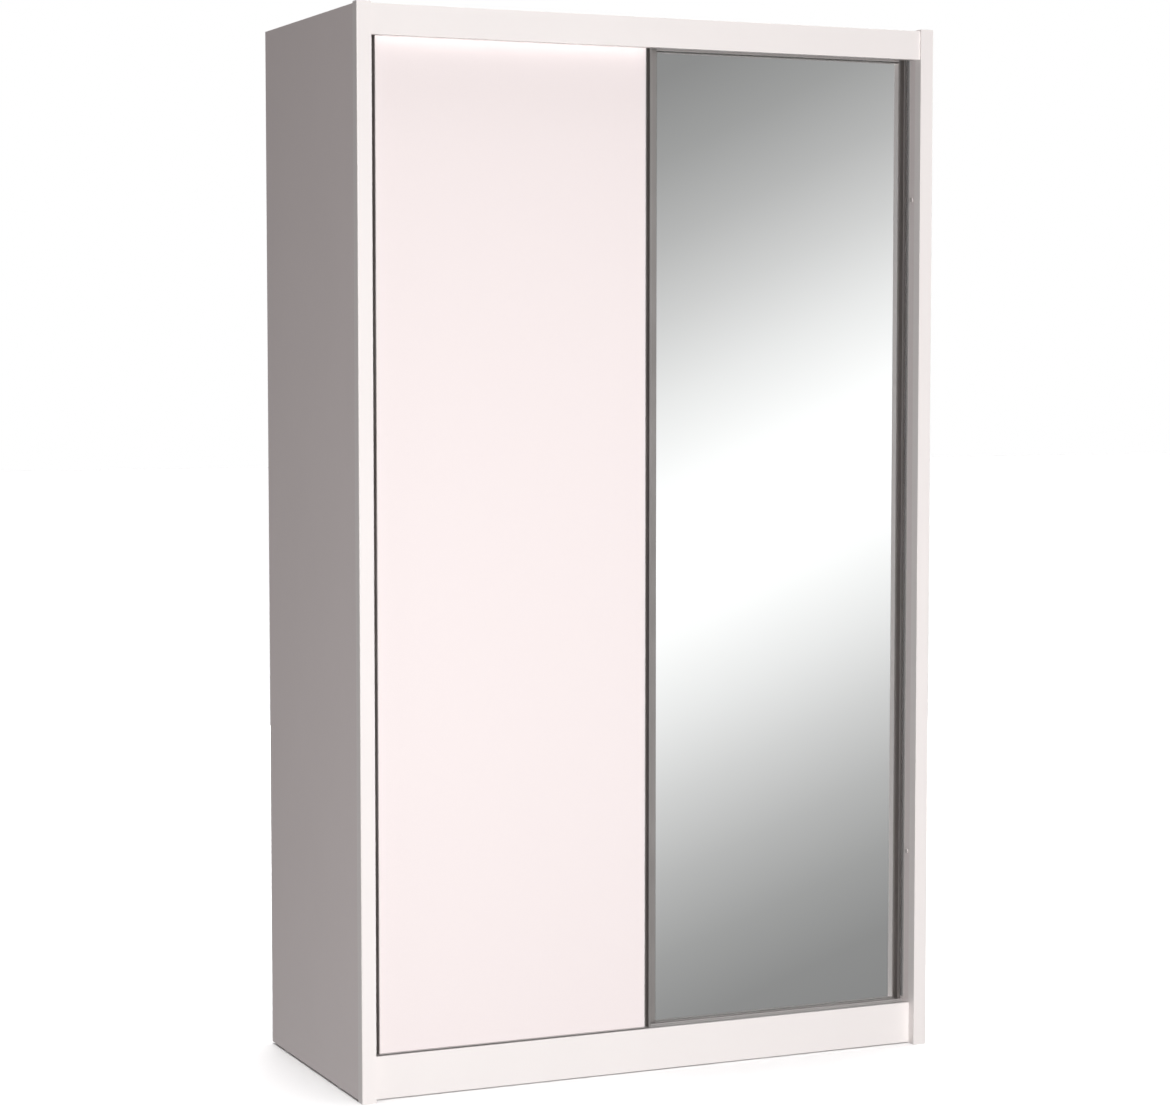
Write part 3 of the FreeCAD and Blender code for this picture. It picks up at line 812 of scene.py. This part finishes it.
@dataclass
class Fasteners:
    """Screws, cams, nails and pins, planted where the frame holds each one."""

    planting: Planting
    screw_radius: float = 3.0 * MM
    screw_head: float = 0.9 * MM
    screw_shank: float = 1.5 * MM
    cam_radius: float = 7.4 * MM
    nail_radius: float = 2.0 * MM
    cam_head: float = 1.2 * MM
    cam_end_gap: float = 0.1 * MM
    nail_head: float = 0.7 * MM
    nail_shank: float = 0.8 * MM
    nail_length: float = 15.0 * MM
    nail_sink: float = 0.1 * MM
    nail_lean: float = 0.03
    pin_radius: float = 2.5 * MM
    pin_tip: float = 1.0 * MM
    core_share: float = 0.96

    def build(self) -> None:
        """Plant every kind of fastener."""
        self.track_screws()
        self.cams()
        self.nails()
        self.pins()
        dress("cam_bolts", "zinc")

    def track_screws(self) -> None:
        """Cross-headed screws: the lower ones face up, the upper ones down."""
        middle = (CAD_BOX[0].z + CAD_BOX[1].z) / 2
        parts = []
        for low, high in islands("track_screws"):
            x, y = (low.x + high.x) / 2, (low.y + high.y) / 2
            up = low.z < middle
            seat = high.z - self.screw_head if up else low.z + self.screw_head
            parts.append((up, (x, y, seat), high.z - low.z - self.screw_head))
        length = parts[0][2]
        whole = bmesh.new()
        for up, way in ((True, "+Z"), (False, "-Z")):
            head = cross_head(self.screw_radius, self.screw_head, self.screw_shank, length)
            mesh = self.planting.grow(head, [place for is_up, place, _ in parts if is_up == up],
                                      "zinc", TOWARDS[way])
            whole.from_mesh(mesh)
        joined = bpy.data.meshes.new("track_screw_set")
        whole.to_mesh(joined)
        whole.free()
        joined.materials.append(PAINTS.get("zinc"))
        settle(joined, "track_screw_set", "carcass", ("track_screws",))

    def cams(self) -> None:
        """Cams with a cross slot, sunk flush with the underside of their boards."""
        places, depth = [], 0.0
        for low, high in islands("cam_locks"):
            depth = high.z - low.z
            places.append(((low.x + high.x) / 2, (low.y + high.y) / 2, low.z + self.cam_head))
        length = depth - self.cam_head - self.cam_end_gap
        cam = cross_head(self.cam_radius, self.cam_head, self.cam_radius * self.core_share, length)
        settle(self.planting.grow(cam, places, "zinc", TOWARDS["-Z"]), "cam_lock_set", "carcass",
               ("cam_locks",))

    def nails(self) -> None:
        """Domed nail heads along the back boards' edges."""
        places = [((low.x + high.x) / 2, high.y - self.nail_sink, (low.z + high.z) / 2)
                  for low, high in islands("back_board_nails")]
        nail = round_head(self.nail_radius, self.nail_head, self.nail_shank, self.nail_length)
        mesh = self.planting.grow(nail, places, "zinc", TOWARDS["+Y"], lean=self.nail_lean)
        settle(mesh, "nail_set", "carcass", ("back_board_nails",))

    def pins(self) -> None:
        """Shelf pins with a rounded free end."""
        boxes = islands("shelf_pins")
        middle = sum((low.x + high.x) / 2 for low, high in boxes) / len(boxes)
        shank = boxes[0][1].x - boxes[0][0].x - self.pin_tip
        pin = round_head(self.pin_radius, self.pin_tip, self.pin_radius * 0.98, shank)
        whole = bmesh.new()
        for left, way in ((True, "+X"), (False, "-X")):
            side = [(low, high) for low, high in boxes if ((low.x + high.x) / 2 < middle) == left]
            base = [(low.x + shank if left else high.x - shank, (low.y + high.y) / 2,
                     (low.z + high.z) / 2) for low, high in side]
            whole.from_mesh(self.planting.grow(pin, base, "zinc", TOWARDS[way]))
        joined = bpy.data.meshes.new("shelf_pin_set")
        whole.to_mesh(joined)
        whole.free()
        joined.materials.append(PAINTS.get("zinc"))
        settle(joined, "shelf_pin_set", "carcass", ("shelf_pins",))


@dataclass
class Brush:
    """A strip of pile on a carrier: it fills the box of one frame piece."""

    planting: Planting
    node: str
    body: str
    way: str
    carrier: float
    rows: int
    pitch: float
    tuft_radius: float
    seed: int

    def build(self) -> None:
        """Make the carrier and its rows of tufts."""
        low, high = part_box(self.node)
        low, high = Vector(low), Vector(high)
        axis = 0 if self.way.endswith("X") else 1
        across = 1 - axis
        forward = self.way.startswith("+")
        foot = low[axis] + self.carrier if forward else high[axis] - self.carrier
        reach = high[axis] - low[axis] - self.carrier
        ends = [list(low), list(high)]
        ends[1 if forward else 0][axis] = foot
        whole = bar(ends[0], ends[1], self.carrier * 0.25)
        count = int((high.z - low.z - self.pitch) / self.pitch)
        dice = random.Random(self.seed)
        places = []
        for row in range(self.rows):
            share = (row + 0.5) / self.rows
            for step in range(count):
                point = [0.0, 0.0, low.z + self.pitch * (step + 0.75 + 0.25 * (row % 2))]
                point[axis] = foot - 0.1 * MM if forward else foot + 0.1 * MM
                point[across] = low[across] + share * (high[across] - low[across])
                point[across] += dice.uniform(-0.1, 0.1) * MM
                places.append(point)
        pile = self.planting.grow(tuft(self.tuft_radius, reach), places, "pile", TOWARDS[self.way],
                                  lean=0.05, shortest=0.86, seed=self.seed)
        whole.from_mesh(pile)
        mesh = bpy.data.meshes.new(f"{self.node}_pile")
        whole.to_mesh(mesh)
        whole.free()
        mesh.materials.append(PAINTS.get("pile"))
        settle(mesh, f"{self.node}_pile", self.body, (self.node,))


@dataclass
class Tracks:
    """The two tracks and the buffers at the doors' ends."""

    def build(self) -> None:
        """Dress the tracks and the buffers."""
        dress("bottom_track", "track", 0.15 * MM)
        dress("top_track", "track", 0.15 * MM)
        dress("door_buffers", "buffer", 0.3 * MM)


@dataclass
class Door:
    """What both doors share: stiles, strips, guides, housings, axles and wheels."""

    name: str
    edge: float = 0.35 * MM

    def build(self) -> None:
        """Dress the door's frame and its running gear."""
        for side in ("left", "right"):
            grip = (self.name, side) != ("rear", "left")
            dress(f"{self.name}_door_{side}_stile", "stile", 0.0 if grip else self.edge)
            dress(f"{self.name}_{side}_roller_housing", "grey_plastic", 0.3 * MM)
            dress(f"{self.name}_{side}_wheel", "white_plastic", 0.15 * MM)
        for end in ("top", "bottom"):
            dress(f"{self.name}_door_{end}_strip", "strip", 0.2 * MM)
        dress(f"{self.name}_door_top_guides", "grey_plastic", 0.3 * MM)
        dress(f"{self.name}_wheel_axles", "zinc", 0.1 * MM)


@dataclass
class PlainDoor(Door):
    """The white door on the front bead."""

    panel_edge: float = 0.6 * MM

    def build(self) -> None:
        """Dress the frame and the white panel."""
        super().build()
        dress("front_door_panel", "door", self.panel_edge)


@dataclass
class MirrorDoor(Door):
    """The mirror door on the rear bead."""

    glass_edge: float = 0.9 * MM

    def build(self) -> None:
        """Dress the frame, the glass and its backing."""
        super().build()
        dress("mirror_glass", "mirror", self.glass_edge)
        dress("mirror_backing_board", "backing", 0.3 * MM)


# ------------------------------------------------------------------------------ studio
@dataclass
class Studio:
    """Floor, surrounding light, lamps and camera."""

    camera_place: tuple[float, float, float] = (-2.3838, -5.2990, 1.3773)
    azimuth: float = -23.95
    pitch: float = 3.88
    lens: float = 89.98
    floor_size: float = 60.0
    overhead_strength: float = 3.3
    overhead_spread: float = 24.0
    glow_strip: tuple[float, float] = (0.55, 0.004)
    glow_power: float = 0.012
    glow_place: tuple[float, float, float] = (-0.288, -0.262, 1.9585)
    glow_tilt: float = 40.0
    fill: Colour = (0.096, 0.083, 0.083)
    band_slant: float = -0.394
    band_rise: float = 0.0691
    band_middle: float = 0.479
    band_sides: tuple[float, float] = (-0.2, 0.9)
    band_strength: float = 1.07
    lamps: list[tuple[str, tuple[float, float, float], tuple[float, float, float], float, float]] = field(
        default_factory=lambda: [
            ("key", (-1.0, -6.0, 0.45), (0.0, -0.2, 0.45), 3.0, 505.0),
            ("rear", (1.2, 5.0, 1.3), (0.0, 0.2, 1.0), 3.0, 210.0),
            ("right", (5.0, 0.6, 1.2), (0.6, 0.0, 1.0), 2.5, 110.0),
            ("left_low", (-3.2, -0.6, 0.35), (-0.6, 0.0, 0.25), 1.4, 16.0),
        ])

    def build(self) -> None:
        """Set everything up."""
        self.camera()
        self.floor()
        self.surround()
        for lamp in self.lamps:
            self.lamp(*lamp)
        self.overhead()
        self.glow()

    def camera(self) -> None:
        """A long lens at eye height, a quarter turn to the wardrobe's left."""
        data = bpy.data.cameras.new("camera")
        data.lens = self.lens
        camera = bpy.data.objects.new("camera", data)
        bpy.context.collection.objects.link(camera)
        turn, drop = math.radians(self.azimuth), math.radians(self.pitch)
        back = Vector((math.sin(turn) * math.cos(drop), -math.cos(turn) * math.cos(drop), math.sin(drop)))
        camera.location = self.camera_place
        camera.rotation_mode = "QUATERNION"
        camera.rotation_quaternion = (-back).to_track_quat("-Z", "Y")
        data.clip_end = 200.0
        bpy.context.scene.camera = camera

    def floor(self) -> None:
        """A plain pale floor."""
        mesh = bpy.data.meshes.new("floor")
        half = self.floor_size / 2
        mesh.from_pydata([(-half, -half, 0), (half, -half, 0), (half, half, 0), (-half, half, 0)], [],
                         [(0, 1, 2, 3)])
        floor = bpy.data.objects.new("floor", mesh)
        bpy.context.collection.objects.link(floor)
        work = Shading("pale_floor")
        work.set(Base_Color=work.blend(work.noise(0.6, 2.0), (0.93, 0.93, 0.93), (0.92, 0.92, 0.92)),
                 Roughness=0.9, Specular_IOR_Level=0.1)
        mesh.materials.append(work.material)
        floor.visible_glossy = False
        floor.visible_diffuse = False

    def surround(self) -> None:
        """White behind the object, a soft banded reflection for glossy surfaces and a dim fill."""
        world = bpy.data.worlds.new("studio")
        bpy.context.scene.world = world
        world.use_nodes = True
        nodes, links = world.node_tree.nodes, world.node_tree.links
        nodes.clear()

        def math_node(kind: str, first: Any, second: Any = 0.0, third: Any = 0.0) -> bpy.types.NodeSocket:
            """One Math node.

            Args:
                kind: the operation.
                first: number or output.
                second: number or output.
                third: number or output.

            Returns:
                The output.
            """
            node = nodes.new("ShaderNodeMath")
            node.operation = kind
            for socket, value in zip(node.inputs, (first, second, third)):
                if isinstance(value, bpy.types.NodeSocket):
                    links.new(value, socket)
                else:
                    socket.default_value = value
            return node.outputs[0]

        split = nodes.new("ShaderNodeSeparateXYZ")
        links.new(nodes.new("ShaderNodeTexCoord").outputs["Generated"], split.inputs[0])
        east, south, up = (split.outputs[axis] for axis in "XYZ")
        squares = math_node("ADD", math_node("POWER", east, 2.0), math_node("POWER", south, 2.0))
        level = math_node("SQRT", squares)
        rise = math_node("DIVIDE", up, math_node("MAXIMUM", level, 0.001))
        away = math_node("MAXIMUM", math_node("ABSOLUTE", south), 0.3)
        aside = math_node("DIVIDE", east, away)
        for kind, limit in zip(("MAXIMUM", "MINIMUM"), self.band_sides):
            aside = math_node(kind, aside, limit)
        middle = self.band_rise - self.band_slant * self.band_middle
        tilt = math_node("MULTIPLY_ADD", aside, self.band_slant, middle)
        offset = math_node("ABSOLUTE", math_node("ADD", rise, tilt))
        ramp = nodes.new("ShaderNodeValToRGB")
        links.new(math_node("MULTIPLY", offset, 4.0), ramp.inputs[0])
        stops = ((0.0, 1.12), (0.055, 1.06), (0.11, 1.0), (0.22, 0.83), (0.33, 0.64), (0.44, 0.475),
                 (0.55, 0.35), (0.66, 0.268), (1.0, 0.2))
        elements = ramp.color_ramp.elements
        while len(elements) < len(stops):
            elements.new(0.5)
        for element, (at, shade) in zip(elements, stops):
            element.position = at
            element.color = (shade, shade, shade, 1.0)
        path = nodes.new("ShaderNodeLightPath")
        shades = {"fill": self.fill, "white": (1.0, 1.0, 1.0)}
        back = {}
        for name, colour in shades.items():
            back[name] = nodes.new("ShaderNodeBackground")
            back[name].inputs["Color"].default_value = (*colour, 1.0)
        back["band"] = nodes.new("ShaderNodeBackground")
        links.new(ramp.outputs["Color"], back["band"].inputs["Color"])
        back["band"].inputs["Strength"].default_value = self.band_strength
        glossy, seen = nodes.new("ShaderNodeMixShader"), nodes.new("ShaderNodeMixShader")
        links.new(path.outputs["Is Glossy Ray"], glossy.inputs[0])
        links.new(back["fill"].outputs[0], glossy.inputs[1])
        links.new(back["band"].outputs[0], glossy.inputs[2])
        links.new(path.outputs["Is Camera Ray"], seen.inputs[0])
        links.new(glossy.outputs[0], seen.inputs[1])
        links.new(back["white"].outputs[0], seen.inputs[2])
        links.new(seen.outputs[0], nodes.new("ShaderNodeOutputWorld").inputs["Surface"])
        bpy.context.scene.view_settings.view_transform = "Standard"

    def lamp(self, name: str, place: tuple[float, float, float], aim: tuple[float, float, float],
             size: float, power: float) -> None:
        """One soft square lamp that mirrors don't show.

        Args:
            name: its name.
            place: where it hangs.
            aim: the point that it faces.
            size: its side.
            power: its watts.
        """
        data = bpy.data.lights.new(name, "AREA")
        data.shape = "SQUARE"
        data.size = size
        data.energy = power
        lamp = bpy.data.objects.new(name, data)
        bpy.context.collection.objects.link(lamp)
        lamp.location = place
        lamp.rotation_mode = "QUATERNION"
        lamp.rotation_quaternion = (Vector(aim) - Vector(place)).to_track_quat("-Z", "Y")
        lamp.visible_glossy = False
        lamp.visible_camera = False

    def overhead(self) -> None:
        """A broad even light from straight above, for the floor and its faint contact shadow."""
        data = bpy.data.lights.new("overhead", "SUN")
        data.energy = self.overhead_strength
        data.angle = math.radians(self.overhead_spread)
        lamp = bpy.data.objects.new("overhead", data)
        bpy.context.collection.objects.link(lamp)
        lamp.visible_glossy = False

    def glow(self) -> None:
        """A thin strip of light on the plain door, close under the fascia."""
        data = bpy.data.lights.new("glow", "AREA")
        data.shape = "RECTANGLE"
        data.size, data.size_y = self.glow_strip
        data.energy = self.glow_power
        lamp = bpy.data.objects.new("glow", data)
        bpy.context.collection.objects.link(lamp)
        lamp.location = self.glow_place
        lamp.rotation_euler = (math.radians(self.glow_tilt), 0.0, 0.0)
        lamp.visible_glossy = False
        lamp.visible_camera = False


def main() -> None:
    """Build the sub-assemblies in order."""
    logging.basicConfig(level=logging.INFO, format="%(message)s")
    planting = Planting()
    parts: list[Any] = [
        Cabinet(), HangingRail(), Tracks(), PlainDoor("front"), MirrorDoor("rear"), Fasteners(planting),
        Brush(planting, "left_dust_strip", "carcass", "+X", 1.0 * MM, 4, 1.6 * MM, 0.8 * MM, 11),
        Brush(planting, "right_dust_strip", "carcass", "-X", 1.0 * MM, 4, 1.6 * MM, 0.8 * MM, 12),
        Brush(planting, "door_brush_seal", "front_door", "+Y", 2.0 * MM, 3, 1.6 * MM, 0.7 * MM, 13),
        Studio(),
    ]
    for part in parts:
        part.build()
        log.info("%s done", type(part).__name__)


if __name__ == "__main__":
    main()
